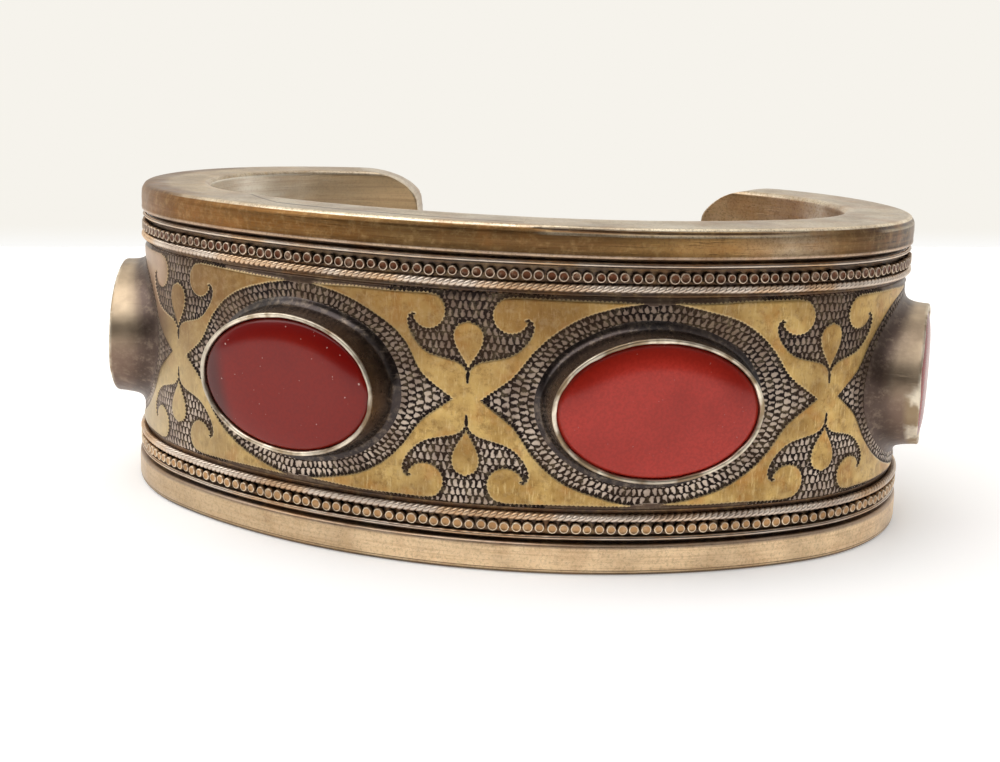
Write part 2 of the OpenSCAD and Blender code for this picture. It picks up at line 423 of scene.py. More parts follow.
# The inner face has the same heights, so that each end closes with straight rungs.
rim_round = 0.5
from_rim = np.minimum(outer_z, cuff_h - outer_z)
inner_d = -wall + rim_round * (1 - np.sqrt(1 - np.clip(1 - from_rim / rim_round, 0, 1) ** 2))
rungs = 8
across = np.linspace(0, 1, rungs + 1)[1:-1]
top_d = outer_d[-1] + (inner_d[-1] - outer_d[-1]) * across
bottom_d = inner_d[0] + (outer_d[0] - inner_d[0]) * across
ring_d = np.concatenate([outer_d, top_d, inner_d[::-1], bottom_d])
ring_z = np.concatenate([outer_z, 0 * top_d + cuff_h, outer_z[::-1], 0 * bottom_d])
ring_tone = np.concatenate([outer_tone, np.repeat([colour(*top_tone)], len(top_d), 0),
                            np.repeat([colour(*inner_tone)], len(outer_z), 0),
                            np.repeat([colour(*ash)], len(bottom_d), 0)])
print("the section has", len(ring_d), "points")

# %% The wall as a surface
along_s = np.linspace(right_end, -left_end, 701)
s, z = np.meshgrid(along_s, ring_z, indexing="ij")
d = np.broadcast_to(ring_d, s.shape)
s = rounded_end(s, z)
outer_skin = (-1.2, -0.8)
outside = step(d, *outer_skin)
# The seam under the top strip is open from the middle of the front to the right, and once more.
seam_open = between(s, 4.2, 6.0, 22, 28) + 0.7 * between(s, 34, 36, 44, 46)
seam_z = 26.94 + 0.1 * (1 - step(s, 6, 14))
seam_half, seam_deep = 0.085, 0.2
seam = np.exp(-((z - seam_z) / seam_half) ** 2) * seam_open * outside


def shaken(s, z, d):
    """Points of the wall with the unevenness of hammered sheet: the inner face bulges in and out,
    the bands less, and the upper edge wanders up and down."""
    bulge = 0.035 * waves(s, 2.5 * z, 9, 3) + 0.03 * waves(s, z, 31, 4)
    bulge = bulge * (1 - 0.6 * step(d, *outer_skin))
    rise = np.where(z > mid_z, 0.03 * (np.minimum(waves(s, 0 * s, 23, 5), 1) - 1), 0)
    return on_cuff(s, z + rise, d + bulge - 0.02)


points = shaken(s, z, d - seam_deep * seam)
print("the wall's grid is", points.shape[0], "by", points.shape[1])

# %% The wall's tones
# Two faces drift in tone as they go round. The upper band is orange-brown at the left, golden and
# then silvery at the right, with a dark patch. The inner face is pale where it turns and browner
# towards each end, with a dark blotch inside the right end.
band_tones = [(-45, (150, 112, 64)), (-36, (134, 88, 36)), (-15, (126, 84, 38)), (-4, (106, 78, 44)),
              (8, (112, 80, 46)), (14, (142, 108, 62)), (20, (192, 150, 94)), (25, (188, 166, 138)),
              (30, (124, 94, 58)), (34, (52, 33, 18)), (40, (42, 25, 14)), (44, (120, 98, 72))]
inner_tones = [(-80, (240, 216, 178)), (-68, (230, 214, 186)), (-63, (255, 246, 226)),
               (-50, (255, 250, 238)), (40, (208, 200, 188)), (58, (192, 178, 164)),
               (63, (170, 140, 118)), (66, (172, 144, 120)), (71, (204, 174, 138)),
               (80, (232, 206, 172))]


def drift(tone, where, stops):
    """Sets the tone on part of the wall from stops along it: each a distance and a colour."""
    shades = np.array([colour(*shade) for _, shade in stops])
    for channel in range(3):
        along_it = np.interp(s, [stop for stop, _ in stops], shades[:, channel])
        tone[..., channel] = np.where(where, along_it, tone[..., channel])


def laid_over(tone, share, shade):
    """The tones with one colour laid over them, by its share at each point."""
    share = share[..., None]
    return tone * (1 - share) + np.array(colour(*shade)) * share


band_low, band_high = 25.22, 27.08
low_band = (outside > 0.5) & (z < 2.5)
inner_face = (outside < 0.5) & (z < cuff_h - 0.3)
top_face = z > cuff_h - 0.01
tone = np.broadcast_to(ring_tone, s.shape + (4,)).copy()
drift(tone, (outside > 0.5) & (z > band_low) & (z < band_high), band_tones)
drift(tone, inner_face & (d < -wall + rim_round), inner_tones)
# The lower band is duller at the left, and the top face is browner there.
tone[..., :3] *= (1 - 0.34 * (1 - step(s, -24, 2)) * low_band)[..., None]
brown_top = 0.9 * (1 - step(s, -36, -18)) * top_face
tone[..., :3] *= 1 - brown_top[..., None] * np.array([0.12, 0.22, 0.36])
# At the left the band's brown runs on over the top edge, in place of the painted highlight.
over_edge = step(d, -2.6, -1.6) * (z > band_high) * (1 - step(s, -31, -24)) * (s > -60)
tone = laid_over(tone, over_edge, (112, 76, 38))
# Right under the open seam the rolled edge of the band gets a painted highlight, and the seam itself is
# sooty.
tone = laid_over(tone, np.exp(-((z - 26.74) / 0.07) ** 2) * seam_open * outside, painted_glint)
tone = laid_over(tone, seam, soot)
# The fourth number of a tone says how stained the sheet is there. The inner face is cleaner at the
# left, and the lower band is cleaner all along.
tone[..., 3] = 1 - 0.75 * inner_face * (1 - step(s, -30, 0)) - 0.4 * low_band
# On the top face a lapped sheet shows its edge: a line across and then along. The material draws
# it from the signed distance to it, which is large elsewhere.
lap = np.array([(-27.5, -6.4), (-18.6, -2.6), (-10, -2.2), (4, -1.6)])
far_off = 3.0
overlap = (d - np.interp(s, lap[:, 0], lap[:, 1])) / np.where(s < lap[1, 0], 1.6, 2.6)
overlap = np.where(top_face & (s > lap[0, 0]) & (s < lap[-1, 0]), overlap, far_off)
print("the open seam is", seam_deep, "mm deep, and", round(float((seam > 0.5).mean() * 100), 2),
      "% of the points are in it")

# %% The wall's ends
# Each end is a ladder: its outer edge, the rungs, and its inner edge.
share = np.linspace(0, 1, rungs + 1)
cap_d = outer_d[:, None] + (inner_d - outer_d)[:, None] * share
cap_z = np.broadcast_to(outer_z[:, None], cap_d.shape)
shell_points, shell_faces = [points.reshape(-1, 3)], [quads(*s.shape, round_cols=True)]
shell_tone, shell_overlap = [tone.reshape(-1, 4)], [overlap.ravel()]
for side, end in ((1, right_end), (-1, -left_end)):
    faces = quads(*cap_d.shape) + sum(len(p) for p in shell_points)
    cap_s = rounded_end(end + 0 * cap_z, cap_z)
    shell_points.append(shaken(cap_s, cap_z, cap_d).reshape(-1, 3))
    shell_faces.append(faces if side > 0 else faces[:, ::-1])
    shell_tone.append(np.repeat([colour(*inner_tone)], cap_d.size, 0))
    shell_overlap.append(np.full(cap_d.size, far_off))
print("with its ends the wall has", sum(len(p) for p in shell_points), "points")

# %% The wall's finish
wall_metal, tree, shader = finish("Worn silver sheet", 0.38, 0.88)
tone_node = add(tree, "ShaderNodeAttribute", attribute_name="tone")
stained = tone_node.outputs["Alpha"]
lap_line = ramp(tree, calc(tree, "ABSOLUTE", attribute(tree, "overlap")), 0.04, 0.12, 1.0, 0.0)
brushed = noise(tree, 1.0, 4.0, stretch=(8, 8, 0.22), roughness=0.6)
streaks = noise(tree, 1.6, 5.0, stretch=(7, 7, 0.15), roughness=0.7)
# Fine pits darken the sheet grain by grain, and larger stains tint it.
pits = times(tree, ramp(tree, noise(tree, 0.24, 3.0, roughness=0.8), 0.46, 0.66), stained)
stains = times(tree, ramp(tree, noise(tree, 4.0, 5.0, roughness=0.65), 0.5, 0.66), stained)
base = layered(tree, tone_node.outputs["Color"], (lap_line, (84, 68, 52)),
               (ramp(tree, brushed, 0.4, 0.7, 0.0, 0.12), (206, 176, 120)),
               (ramp(tree, streaks, 0.46, 0.66, 0.0, 0.3), (170, 128, 86)),
               (times(tree, pits, 0.5), (110, 84, 56)),
               (times(tree, stains, 0.3), (168, 112, 58)))
worn(tree, shader, base, colour(104, 70, 36), colour(196, 164, 112), times(tree, stained, 0.45),
     dent=0.035, scratches=0.2)
rough = plus(tree, times(tree, noise(tree, 2.2, 4.0), 0.3), 0.22)
tree.links.new(rough, shader.inputs["Roughness"])

cuff_wall = piece("cuff_wall", np.concatenate(shell_points), np.concatenate(shell_faces), wall_metal,
                  numbers={"tone": np.concatenate(shell_tone),
                           "overlap": np.concatenate(shell_overlap)}, weld=True)

# %% [markdown]
# ## The wires along the rims
#
# Each rim carries three wires side by side in a black channel: a plain one with fine ridges, a row
# of beads, and a rope. A wire is a small section carried along the cuff. The rope is two round
# strands that wind round each other, and a true twist catches the light at each turn in a way that
# a bump pattern can't from the side.

# %% A section carried along the cuff
def carried(s, z, d, end_z):
    """A wire as a tube: a ring of points in each row of the arrays, at distances s, heights z and
    depths d. end_z is the height at which the cuff's rounded end cuts each point."""
    return on_cuff(rounded_end(s, end_z), z, d), quads(*s.shape, round_cols=True)


def closed_tubes(name, tubes, material, numbers):
    """Joins tubes of equal ring size into one piece. A flat face closes each end of a tube."""
    all_points, all_faces, first = [], [], 0
    for points, faces in tubes:
        rings, n = points.shape[:2]
        last = first + (rings - 1) * n
        all_points.append(points.reshape(-1, 3))
        all_faces += (faces + first).tolist()
        all_faces += [list(range(first + n - 1, first - 1, -1)), list(range(last, last + n))]
        first += rings * n
    piece(name, np.concatenate(all_points), all_faces, material, numbers=numbers)


# Where the wires of a rim run: the field's edge, and the way from it to the rim
wires = {"upper": (mid_z + field_h / 2, 1), "lower": (field_low, -1)}
plain_off, bead_off, rope_off = 2.32, 1.53, 0.66
plain_d, bead_d, rope_d = -0.34, -0.6, -0.36
print("the wires run", rope_off, bead_off, "and", plain_off, "mm from the field's edge")

# %% Silver wire
wire_metal, tree, shader = finish("Silver wire", 0.33, 0.9)
# The dark colour laid on by the crevice number is painted shade.
base = layered(tree, colour(228, 212, 196),
               (ramp(tree, noise(tree, 7.0, 2.0), 0.45, 0.62), (218, 182, 144)),
               (ramp(tree, attribute(tree, "crevice_shade"), 0.3, 0.75), (30, 23, 23)))
worn(tree, shader, base, colour(140, 106, 80), colour(250, 236, 212), 0.4, dent=0.012)
print("material:", wire_metal.name)

# %% The plain wires
round_turn = np.linspace(0, 2 * pi, 13)[:-1]
plain_r, ridge, upper_lift = 0.17, 0.03, 0.12
ring_r = plain_r + ridge * np.cos(4 * round_turn)
ring_z, ring_d = ring_r * np.cos(round_turn), ring_r * np.sin(round_turn)
# Painted shade darkens the wire's foot and the hollows between its ridges.
deep = np.clip(-ring_d / plain_r, 0, 1) + 0.8 * (np.cos(4 * round_turn) < -0.5)
plain_s = np.linspace(-left_end + 0.1, right_end - 0.1, 420)
for where, (start, up) in wires.items():
    middle_z = start + up * plain_off + (upper_lift if up > 0 else 0)
    middle_z = (middle_z + 0.02 * waves(plain_s, 0, 14, 11 + up))[:, None]
    tube = carried(plain_s[:, None] + 0 * ring_z, middle_z + ring_z, plain_d + ring_d, middle_z)
    closed_tubes(f"plain_wire_{where}", [tube], wire_metal,
                 {"crevice_shade": np.tile(np.clip(deep, 0, 1), len(plain_s))})

# %% The ropes
rope_pitch, strand_r, wind_r, leaning = 1.06, 0.165, 0.165, 0.16
sides, steps_per_turn = 7, 11
rope_s = np.arange(-left_end + 0.15, right_end - 0.15, rope_pitch / steps_per_turn)
strand = np.linspace(0, 2 * pi, sides + 1)[:-1]
for where, (start, up) in wires.items():
    tubes, deep = [], []
    rope_z = start + up * rope_off
    for half in (0, pi):
        wind = -2 * pi * (rope_s + 0.12 * waves(rope_s, 0, 19, 21 + up)) / rope_pitch + half
        # The strand's middle circles the rope's middle, and its ring leans with the winding.
        z = rope_z + wind_r * np.cos(wind) + 0.02 * waves(rope_s, 0, 12, 23 + up)
        d = rope_d + wind_r * np.sin(wind)
        wind = wind[:, None]
        lean = leaning * (np.sin(strand) * np.cos(wind) - np.cos(strand) * np.sin(wind))
        ring_z = z[:, None] + strand_r * np.cos(strand)
        ring_d = d[:, None] + strand_r * np.sin(strand)
        tubes.append(carried(rope_s[:, None] + lean, ring_z, ring_d, ring_z))
        # Painted shade where the two strands meet near the rope's middle.
        deep.append(1 - step(np.hypot(ring_z - rope_z, ring_d - rope_d), 0.15, 0.3))
    closed_tubes(f"rope_{where}", tubes, wire_metal,
                 {"crevice_shade": np.concatenate([v.ravel() for v in deep])})

# %% [markdown]
# ## The rows of beads
#
# Beaded wire is rolled between grooved plates, so its beads are nearly alike and nearly touch.
# There are more than three hundred of them, so one bead is worked out with few faces and set down many
# times by adding its points to an array of places. The middle of each bead has another colour than its
# flank: a bright ring and a darker crown, both painted reflections. Its foot has painted shade, and the
# lower row is painted lighter, as light from the bright table.

# %% Beaded wire
bead_metal, tree, shader = finish("Beaded wire", 0.36, 0.85)
middle, below = attribute(tree, "middle"), attribute(tree, "below")
# From the foot up: painted shade at the foot, the flank, a bright ring and the crown. The ring and
# the darker crown are painted reflections, and the lower row gets lighter copies as painted light
# from the bright table.
flank = mix(tree, below, colour(128, 104, 82), colour(172, 142, 110))
ring = mix(tree, below, colour(214, 194, 172), colour(244, 226, 198))
crown = mix(tree, below, colour(92, 52, 32), colour(186, 142, 96))
base = mix(tree, ramp(tree, middle, 0.42, 0.5), flank, ring)
base = mix(tree, ramp(tree, middle, 0.6, 0.7), base, crown)
base = mix(tree, ramp(tree, middle, 0.05, 0.2), colour(34, 27, 26), base)
worn(tree, shader, base, colour(96, 70, 50), colour(240, 222, 192), 0.35, dent=0.01)
print("material:", bead_metal.name)

# %% Beads
bead_pitch, bead_r = 0.93, 0.43
# Each level of a bead: its share of the radius, its height, and how near the middle it is
levels = np.array([(1.0, 0.0, 0.0), (1.0, 0.28, 0.15), (0.93, 0.44, 0.4),
                   (0.8, 0.52, 0.55), (0.64, 0.49, 0.72), (0.3, 0.46, 1.0)])
level_r, level_out, level_middle = (column[:, None] for column in levels.T)
bead_x, bead_y = bead_r * level_r * np.cos(round_turn), bead_r * level_r * np.sin(round_turn)
bead_faces = quads(*bead_x.shape, round_cols=True)
crown_lid = np.arange(len(round_turn)) + bead_x.size - len(round_turn)
rng = np.random.default_rng(7)
for where, (start, up) in wires.items():
    # No two beads are quite alike in place or size.
    count = int((left_end + right_end) / bead_pitch) - 1
    at = (np.arange(count) + 1) * bead_pitch - left_end + rng.normal(0, 0.035, count)
    size = 1 + rng.normal(0, 0.05, count)
    height = start + up * bead_off + 0.03 * rng.normal(0, 1, count)
    at, size, height = (v[:, None, None] for v in (at, size, height))
    s, z = at + size * bead_x, height + size * bead_y
    points = on_cuff(rounded_end(s, z), z, bead_d + level_out)
    first = np.arange(count)[:, None, None] * bead_x.size
    faces = (bead_faces + first).reshape(-1, 4).tolist() + (crown_lid + first[:, 0]).tolist()
    # The lower row is marked by the below number, which picks its lighter copies of painted light.
    piece(f"beads_{where}", points, faces, bead_metal,
          numbers={"middle": np.broadcast_to(level_middle, s.shape).ravel(),
                   "below": np.full(s.size, 0.0 if up > 0 else 1.0)})

# %% [markdown]
# ## The chased and gilded field
#
# Between the wires the sheet is worked from the front: gilt leaves meet four by four, each with a
# curled lobe, a drop stands above and below each meeting, and the silver ground is struck with
# rows of small wedges. An image could carry such a pattern, but it would blur near by. Here the
# outlines are computed: each point of the grid gets its distance in millimetres to the nearest
# outline, and the material cuts that distance sharply, at any zoom.

# %% Outlines of one quarter of a motif
# From the middle of the meeting, x along the cuff and y up. The stone's side of a leaf follows an
# oval round the stone, and its other side has the arm, the slit and the round lobe.
oval_l, oval_w = 11.0, 7.9
row_l, row_w = 9.9, 7.0
leaf_top_y = 8.1
stone_side = np.array([(1.2, 0.0), (1.8, 0.42), (2.45, 0.9), (3.05, 1.35), (3.6, 1.85), (4.05, 2.45),
                       (4.55, 3.25), (5.05, 3.98), (5.9, 4.88), (6.84, 5.66), (7.96, 6.36), (9.0, 6.83),
                       (9.85, 7.12), (11.2, 7.5), (12.9, 7.84)])
arm_side = np.array([(0.0, 2.0), (0.2, 2.35), (0.45, 2.66), (0.98, 2.95), (1.6, 3.1), (2.35, 3.28),
                     (3.0, 3.46), (3.5, 3.72), (3.9, 4.02), (4.25, 4.38), (4.55, 4.75), (4.78, 5.15),
                     (4.93, 5.55), (4.97, 5.95), (4.85, 6.28), (4.6, 6.46), (4.35, 6.42)])
lobe_x, lobe_y, lobe_r = 3.25, 6.72, 1.45
turns = np.radians(np.arange(-20, -246, -13))
lobe_edge = np.stack([lobe_x + lobe_r * np.cos(turns), lobe_y + lobe_r * np.sin(turns)], -1)
lobe_edge = lobe_edge[lobe_edge[:, 1] < leaf_top_y - 0.1]
top_edge = np.array([(2.7, 8.02), (3.4, leaf_top_y + 0.05), (6.0, leaf_top_y + 0.02), (9.0, leaf_top_y),
                     (12.9, leaf_top_y - 0.1), (13.3, 7.95)])
leaf_line = np.concatenate([arm_side, lobe_edge, top_edge, stone_side[::-1]])
# A drop widens from its point as a sine does, and closes above in half a circle.
drop_low, drop_widest, drop_high, drop_w = 2.35, 4.95, 6.15, 1.17
drop_y = np.linspace(drop_low, drop_high, 15)
widens = np.sin(pi / 2 * np.clip((drop_y - 2.3) / 2.65, 0, 1)) ** 1.25
closes = np.sqrt(np.clip(1 - ((drop_y - drop_widest) / (drop_high - drop_widest)) ** 2, 0, 1))
drop_line = np.stack([drop_w * np.where(drop_y < drop_widest, widens, closes), drop_y], -1)


def to_line(x, y, line):
    """Distance from each point to an open line of straight pieces, and how far along the line its
    nearest place is: the smallest over the pieces, each measured square to it."""
    best, where = np.full(x.shape, 1e9), np.zeros(x.shape)
    travelled = 0.0
    for (ax, ay), (bx, by) in zip(line[:-1], line[1:]):
        length = np.hypot(bx - ax, by - ay)
        t = np.clip(((x - ax) * (bx - ax) + (y - ay) * (by - ay)) / length ** 2, 0, 1)
        away = np.hypot(x - ax - t * (bx - ax), y - ay - t * (by - ay))
        where = np.where(away < best, travelled + t * length, where)
        best = np.minimum(best, away)
        travelled += length
    return best, where


def within(x, y, shape):
    """Whether each point is inside a closed outline: it is where a ray crosses an odd number of its
    sides."""
    crossed = np.zeros(x.shape, bool)
    for (ax, ay), (bx, by) in zip(shape, np.roll(shape, -1, 0)):
        if ay != by:
            crossed ^= ((ay > y) != (by > y)) & (x < ax + (y - ay) * (bx - ax) / (by - ay))
    return crossed


print("a leaf's outline has", len(leaf_line), "points")

# %% What each point of the field is
def field_numbers(s, y, k, seed):
    """For points at distance s and height y from the field's middle, round motif k: the distance
    into the gilding (below 0 outside), the distance along its outline, how far the point lies
    inside the chased ground, and its row and its place along the row. Where the next stone is
    further away, the motif is stretched towards it."""
    x = s - place(k) + 0.1 * waves(s, y, 7, seed)
    tall = y + 0.07 * waves(s, y, 8, seed + 1)
    stretch = np.where(x < 0, place(k) - place(k - 1), place(k + 1) - place(k)) / half_pitch
    # Past the next stone's middle the pattern is mirrored, which fills the last panels to their ends.
    ax, ay = half_pitch - np.abs(half_pitch - np.abs(x) / stretch), np.abs(tall)
    to_leaf, along_leaf = to_line(ax, ay, leaf_line)
    shape = np.concatenate([[(-1, -1), (-1, 2.0)], leaf_line, [(1.2, -1)]])
    leaf = np.where(within(ax, ay, shape), to_leaf, -to_leaf)
    # A slit runs from the drop's point towards the middle and tapers off.
    slit = np.hypot(ax, np.minimum(ay - 1.25, 0)) - 0.1 * step(ay, 1.1, 2.3)
    leaf = np.where(ay < 2.3, np.minimum(leaf, slit), leaf)
    to_drop, along_drop = to_line(ax, ay, drop_line)
    shape = np.concatenate([[(-1, drop_low)], drop_line, [(-1, drop_high)]])
    drop = np.where(within(ax, ay, shape), to_drop, -to_drop)
    gilt = np.maximum(leaf, drop)
    outline = np.where(leaf > drop, along_leaf, along_drop)
    # Round the stone the rows of wedges are ovals. Beside the drop they lie level.
    from_stone = half_pitch - ax
    reach = np.hypot(from_stone, ay)
    share = np.sqrt((from_stone / oval_l) ** 2 + (ay / oval_w) ** 2)
    inside_oval = (1 - share) * reach / np.maximum(share, 0.05)
    bearing = np.arctan2(ay / oval_w, from_stone / oval_l)
    # The place along a row is the way round a middle row, added up over small steps of bearing.
    steps = np.linspace(0, pi / 2 + 0.6, 200)
    paces = np.hypot(np.diff(row_l * np.cos(steps)), np.diff(row_w * np.sin(steps)))
    run = np.concatenate([[0], np.cumsum(paces)])
    by_stone = ay < np.interp(ax, stone_side[:, 0], stone_side[:, 1])
    row = np.where(by_stone, inside_oval, (leaf_top_y + 0.2 - ay) * np.sign(tall))
    along = np.where(by_stone, np.interp(bearing, steps, run), ax)
    # Near the meeting all the ground is chased, and further out only what lies inside the oval.
    chased = np.where(by_stone, inside_oval + 0.02 + 10 * (ax < 6), np.where(ax < 6.5, 1.0, -1.0))
    return {"gilt": gilt, "outline": outline, "chased": chased, "row": row, "along": along}


# %% [markdown]
# The ground's wedges are struck side by side in rows, every other row half a step along, as bricks
# are laid. In the material, the whole part of a number tells the row and its fraction tells the
# place inside the row. Noise moves both, since a hand struck them.

# %% The struck wedges
field_metal, tree, shader = finish("Chased and gilded silver", 0.42, 0.85)
gilt, outline, row, along, chased = (
    attribute(tree, name) for name in ("gilt", "outline", "row", "along", "chased"))


def off_middle(tree, x):
    """How far x is from the middle between two whole numbers: 0 there, 0.5 at the numbers."""
    return calc(tree, "ABSOLUTE", minus(tree, calc(tree, "FRACT", x), 0.5))


def unsteady(tree, size, detail, by):
    """Noise to both sides of 0, which moves a stroke by half of that at most."""
    return times(tree, minus(tree, noise(tree, size, detail), 0.5), by)


row_h, wedge_w = 0.64, 0.5
v = plus(tree, calc(tree, "DIVIDE", row, row_h), unsteady(tree, 0.9, 2.0, 0.6))
row_number, in_row = calc(tree, "FLOOR", v), calc(tree, "FRACT", v)
shift = plus(tree, times(tree, row_number, 0.5), unsteady(tree, 0.6, 1.0, 0.7))
u = plus(tree, calc(tree, "DIVIDE", along, wedge_w), shift)
from_middle = off_middle(tree, u)
# A wedge is wide where the row begins and thin where it ends, and its sides are ragged.
ragged = unsteady(tree, 0.2, 1.0, 0.36)
half_width = plus(tree, minus(tree, 0.37, times(tree, in_row, 0.28)), ragged)
struck = ramp(tree, minus(tree, from_middle, half_width), -0.08, 0.08, 1.0, 0.0)
# A thin dark line parts the rows, bent round the foot of each tooth between two wedges.
foot_line = plus(tree, in_row, times(tree, minus(tree, 0.5, from_middle), 0.5))
struck = either(tree, struck, ramp(tree, plus(tree, foot_line, ragged), 1.0, 1.12))
struck = either(tree, struck, ramp(tree, in_row, 0.04, 0.14, 1.0, 0.0))
struck = times(tree, struck, ramp(tree, chased, -0.05, 0.1))
print("a wedge is", wedge_w, "mm wide and", row_h, "mm long")

# %% The edge of the gilding
# Along it runs a dark line of small ticks, which bite a little into the gold.
tick_pitch, tick_out, tick_in = 0.34, 0.62, 0.22
tick = off_middle(tree, calc(tree, "DIVIDE", outline, tick_pitch))
outlined = ramp(tree, plus(tree, gilt, plus(tree, 0.03, times(tree, tick, tick_out))), -0.04, 0.04)
struck = either(tree, struck, times(tree, outlined, ramp(tree, chased, -0.4, -0.2)))
gilt_edge = minus(tree, plus(tree, gilt, times(tree, ragged, 0.35)), times(tree, tick, tick_in))
is_gilt = ramp(tree, gilt_edge, -0.06, 0.0)
struck = times(tree, struck, flip(tree, is_gilt))
# At the far left the chasing is worn shallow.
place_x, _, place_z = position(tree)
struck = times(tree, struck, ramp(tree, place_x, -30 * MM, -25 * MM, 0.65, 1.0))
print("a tick stands every", tick_pitch, "mm along the gilding")

# %% The tones of the ground and the gilding
# Everything is darker above than below: painted shade above, and the lower part painted lighter as lit by
# the bright table.
upper = ramp(tree, place_z, 10 * MM, 20 * MM)
smooth = ramp(tree, chased, -0.6, -0.1, 1.0, 0.0)
ground = layered(tree, colour(206, 188, 172),
                 (ramp(tree, noise(tree, 2.5, 3.0), 0.4, 0.65), (156, 138, 126)),
                 (times(tree, upper, 0.8), (112, 92, 80)),
                 (smooth, (88, 72, 62)), (struck, (38, 29, 28)))
# The gilding has clouds, brown specks, orange patches and fine pale rubs.
specks = noise(tree, 0.8, 5.0, roughness=0.75)
rubs = noise(tree, 0.4, 4.0, stretch=(0.5, 0.5, 3), roughness=0.7)
gold = layered(tree, colour(214, 180, 112),
               (ramp(tree, noise(tree, 3.0, 5.0), 0.35, 0.65), (172, 136, 76)),
               (ramp(tree, specks, 0.46, 0.66, 0.0, 0.65), (132, 100, 54)),
               (ramp(tree, noise(tree, 2.2, 3.0), 0.5, 0.66, 0.0, 0.4), (186, 124, 60)),
               (ramp(tree, rubs, 0.52, 0.72, 0.0, 0.6), (236, 210, 150)))
# Painted shade makes its upper part browner than the lower one, most at the left. The lower one is paler
# there.
rightmost = ramp(tree, place_x, 6 * MM, 18 * MM)
brown = times(tree, times(tree, upper, 0.45), flip(tree, times(tree, rightmost, 0.7)))
browner = ramp(tree, place_x, -32 * MM, 2 * MM, 1.0, 0.0)
leftmost = ramp(tree, place_x, -32 * MM, -14 * MM, 1.0, 0.0)
# A painted highlight follows the edge of each gilt shape, and at the far left the gilding is worn off.
edge_highlight = ramp(tree, gilt, 0.06, 0.16, 1.0, 0.0)
worn_off = ramp(tree, place_x, -29.6 * MM, -27.0 * MM, 1.0, 0.0)
worn_off = times(tree, worn_off, ramp(tree, place_z, 12 * MM, 15 * MM))
gold = layered(tree, gold, (brown, (142, 96, 46)),
               (times(tree, browner, plus(tree, brown, 0.3)), (98, 64, 32)),
               (times(tree, leftmost, minus(tree, 0.5, brown)), (214, 198, 160)),
               (times(tree, edge_highlight, 0.4), (236, 216, 170)),
               (times(tree, worn_off, 0.75), (196, 168, 146)))
groove_depth = 2.2
worn(tree, shader, mix(tree, is_gilt, ground, gold), colour(110, 84, 58), colour(212, 190, 150), 0.3,
     dent=0.03, scratches=0.05, extra=times(tree, struck, -groove_depth))
tree.links.new(plus(tree, 0.36, times(tree, struck, 0.3)), shader.inputs["Roughness"])
print("material:", field_metal.name)

# %% The field as five panels
gilt_rise, rim_w, rim_drop, end_drop = 0.09, 0.12, 0.3, 0.4
fine, coarse = 0.11, 0.15


def field_panel(name, s_from, s_to, k, cell, seed):
    """A grid over one stretch of the field, round motif k. The gilding stands a little above the
    ground with soft shoulders, the surface is uneven, and its rim turns down into the channels."""
    s_line = np.linspace(s_from, s_to, int(round((s_to - s_from) / cell)) + 1)
    y_line = np.linspace(-field_h / 2, field_h / 2, int(round(field_h / cell)) + 1)
    y_line = np.concatenate([[y_line[0] - rim_w], y_line, [y_line[-1] + rim_w]])
    s, y = np.meshgrid(s_line, y_line, indexing="ij")
    numbers = field_numbers(s, y, k, seed)
    d = -field_d + gilt_rise * step(numbers["gilt"], -0.1, 0.1) + 0.03 * waves(s, y, 6, 30)
    d = d - 0.06 * step(np.abs(y), field_h / 2 - 0.5, field_h / 2)
    d[:, [0, -1]] -= rim_drop
    # The last panels turn down at the cuff's ends too.
    if k > 2:
        d[-1] -= end_drop
    if k < -2:
        d[0] -= end_drop
    piece(name, on_cuff(s, y + mid_z, d), quads(*s.shape)[:, ::-1], field_metal,
          numbers={key: values.ravel() for key, values in numbers.items()})


field_panel("field_front", place(-1), place(1), 0, fine, 40)
field_panel("field_left", place(-3), place(-1), -2, fine, 50)
field_panel("field_right", place(1), place(3), 2, fine, 60)
field_panel("field_back_left", -left_end, place(-3), -4, coarse, 70)
field_panel("field_back_right", place(3), right_end, 4, coarse, 80)

# %% [markdown]
# ## The settings
#
# Each stone sits in a tube of sheet silver, soldered to the field with a smooth hollow collar at
# its foot. The tube's rim is rubbed over the stone's edge, so it is thin, bright and not quite
# even. The foot has to follow the bent field while the rim stays flat, so each point is blended
# between the two: a place on the field, and a place on the flat plane over the stone's middle.

# %% A tube on a bent field
def over_stone(stone_s, x, y, z, flatness):
    """Points at x along the cuff, y up and z outwards from the middle of a stone, on the flat
    plane that touches the cuff there (flatness 1), on the bent field (0) or between."""
    x, y, z, flatness = np.broadcast_arrays(x, y, z, flatness)
    bent = on_cuff(stone_s + x, mid_z + y, z)
    here = on_cuff(stone_s, mid_z, 0.0)
    a = float(heading(np.array(stone_s)))
    tilt = atan(flare * sin(a) ** 2 / cuff_h)
    side, outward, up = np.array([(cos(a), sin(a), 0), (sin(a), -cos(a), 0), (0, 0, 1)])
    outward, up = outward * cos(tilt) + up * sin(tilt), up * cos(tilt) - outward * sin(tilt)
    flat = here + x[..., None] * side + z[..., None] * outward + y[..., None] * up
    return bent + (flat - bent) * flatness[..., None]


# How much wider than the lip, the height over the field or the bands, and how flat
foot_rows = [(1.1, -0.62, 0), (0.98, -0.47, 0), (0.88, -0.41, 0), (0.72, -0.36, 0),
             (0.52, -0.27, 0.05), (0.36, -0.12, 0.1), (0.24, 0.08, 0.2), (0.15, 0.32, 0.35),
             (0.08, 0.6, 0.5), (0.04, 0.9, 0.7), (0.01, 1.2, 0.85), (0.0, 1.45, 1),
             (0.0, 1.6, 1), (-0.03, 1.69, 1), (-0.1, 1.735, 1), (-0.2, 1.74, 1),
             (-0.3, 1.71, 1), (-0.36, 1.63, 1), (-0.39, 1.5, 1), (-0.4, 1.2, 1)]
wider, high, flat_share = (np.array(column, float)[:, None] for column in zip(*foot_rows))
print("a setting's tube has", len(foot_rows), "levels")

